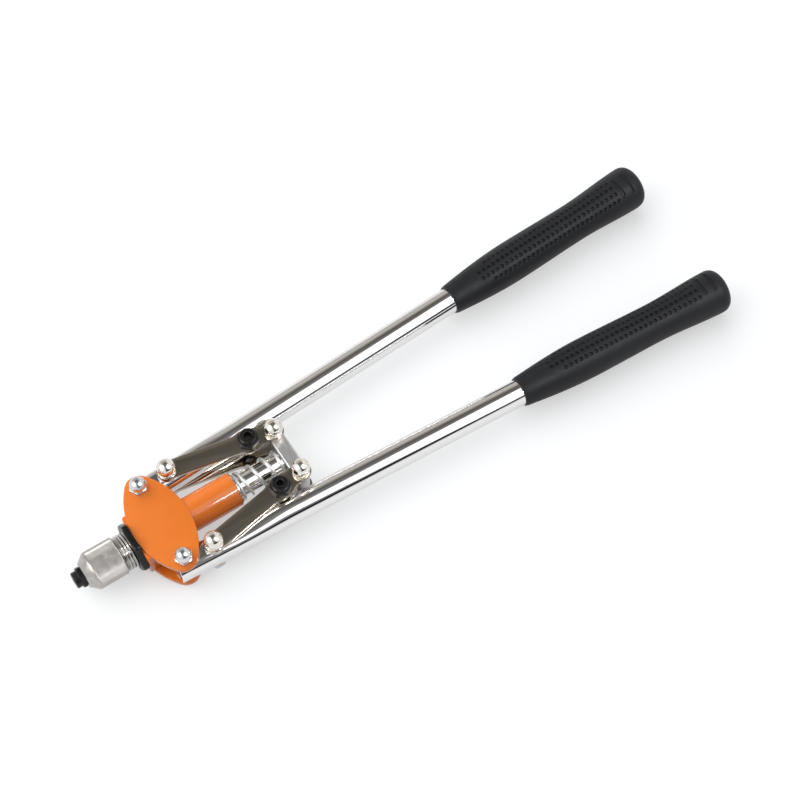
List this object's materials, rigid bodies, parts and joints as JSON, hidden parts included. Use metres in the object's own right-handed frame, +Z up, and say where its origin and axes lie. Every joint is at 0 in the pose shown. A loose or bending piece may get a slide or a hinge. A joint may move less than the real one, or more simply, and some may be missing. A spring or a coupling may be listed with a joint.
{
  "type": "hand riveter",
  "caption": "Two-arm long-handle hand riveter: knurled nose, painted head, sprung pull rod and yoke worked by flat links from two rubber-gripped tube handles.",
  "frame": {"origin": "centre of the fitted nosepiece's front face, on the pulling axis", "axes": "+X runs back along the pulling axis to the handles, +Y to the right-hand handle, +Z up out of the plane the handles swing in, with the tool lying flat"},
  "size_m": [0.4301, 0.1188, 0.0354],
  "materials": {
    "orange_paint": "gloss orange paint over a casting",
    "chrome_plate": "bright chrome plate",
    "nose_steel": "turned and knurled steel",
    "black_oxide": "black oxide",
    "zinc_plate": "bright zinc plate",
    "nickel_plate": "bright nickel plate",
    "satin_zinc": "satin zinc",
    "link_steel": "plated steel strap",
    "spring_steel": "bright spring wire",
    "tool_steel": "hardened tool steel",
    "black_rubber": "soft black rubber"
  },
  "bodies": {
    "head": {"head_casting": "orange_paint", "barrel_end_ring": "chrome_plate", "nose_housing": "nose_steel", "nose_lock_nut": "black_oxide", "nosepiece": "black_oxide", "head_bolts": "zinc_plate", "head_cap_nuts": "zinc_plate", "head_washers": "zinc_plate", "return_spring": "spring_steel"},
    "pull_unit": {"jaw_case": "tool_steel", "jaw_spring": "spring_steel", "pull_rod": "chrome_plate", "yoke": "satin_zinc", "yoke_bolts": "zinc_plate", "yoke_cap_nuts": "nickel_plate"},
    "jaw_set": {"jaws": "tool_steel", "jaw_pusher": "tool_steel"},
    "handle_left": {"handle_tube_left": "chrome_plate", "grip_left": "black_rubber", "link_bolt_left": "zinc_plate", "link_cap_nut_left": "nickel_plate", "link_washers_left": "zinc_plate"},
    "links_left": {"link_top_left": "link_steel", "link_bottom_left": "link_steel", "spare_nosepiece_left": "black_oxide"},
    "handle_right": {"handle_tube_right": "chrome_plate", "grip_right": "black_rubber", "link_bolt_right": "zinc_plate", "link_cap_nut_right": "nickel_plate", "link_washers_right": "zinc_plate"},
    "links_right": {"link_top_right": "link_steel", "link_bottom_right": "link_steel", "spare_nosepiece_right": "black_oxide"}
  },
  "joints": [
    {"name": "handle_right_pivot", "type": "hinge", "parent": "head", "child": "handle_right", "pos_m": [0.0585, 0.0262, 0], "axis": [0, 0, 1], "range_deg": [0, 45]},
    {"name": "handle_left_pivot", "type": "hinge", "parent": "head", "child": "handle_left", "pos_m": [0.0585, -0.0262, 0], "axis": [0, 0, -1], "range_deg": [0, 45]},
    {"name": "pull_slide", "type": "slide", "parent": "head", "child": "pull_unit", "axis": [-1, 0, 0], "range_m": [0, 0.0094], "stiffness_N_per_m": 400, "springref_m": -0.003, "deforming": ["return_spring"]},
    {"name": "links_right_pivot", "type": "hinge", "parent": "handle_right", "child": "links_right", "pos_m": [0.07777, 0.02721, 0], "axis": [0, 0, -1], "range_deg": [0, 58]},
    {"name": "links_left_pivot", "type": "hinge", "parent": "handle_left", "child": "links_left", "pos_m": [0.07777, -0.02721, 0], "axis": [0, 0, 1], "range_deg": [0, 58]},
    {"name": "jaw_slide", "type": "slide", "parent": "pull_unit", "child": "jaw_set", "axis": [1, 0, 0], "range_m": [0, 0.002], "stiffness_N_per_m": 300, "springref_m": -0.002, "deforming": ["jaw_spring"]}
  ],
  "couplings": [
    {"joint": "handle_left_pivot", "follows": "handle_right_pivot", "ratio": 1},
    {"joint": "pull_slide", "follows": "handle_right_pivot", "m_per_rad": 0.01164},
    {"joint": "links_right_pivot", "follows": "handle_right_pivot", "ratio": 1.27},
    {"joint": "links_left_pivot", "follows": "handle_right_pivot", "ratio": 1.27}
  ]
}
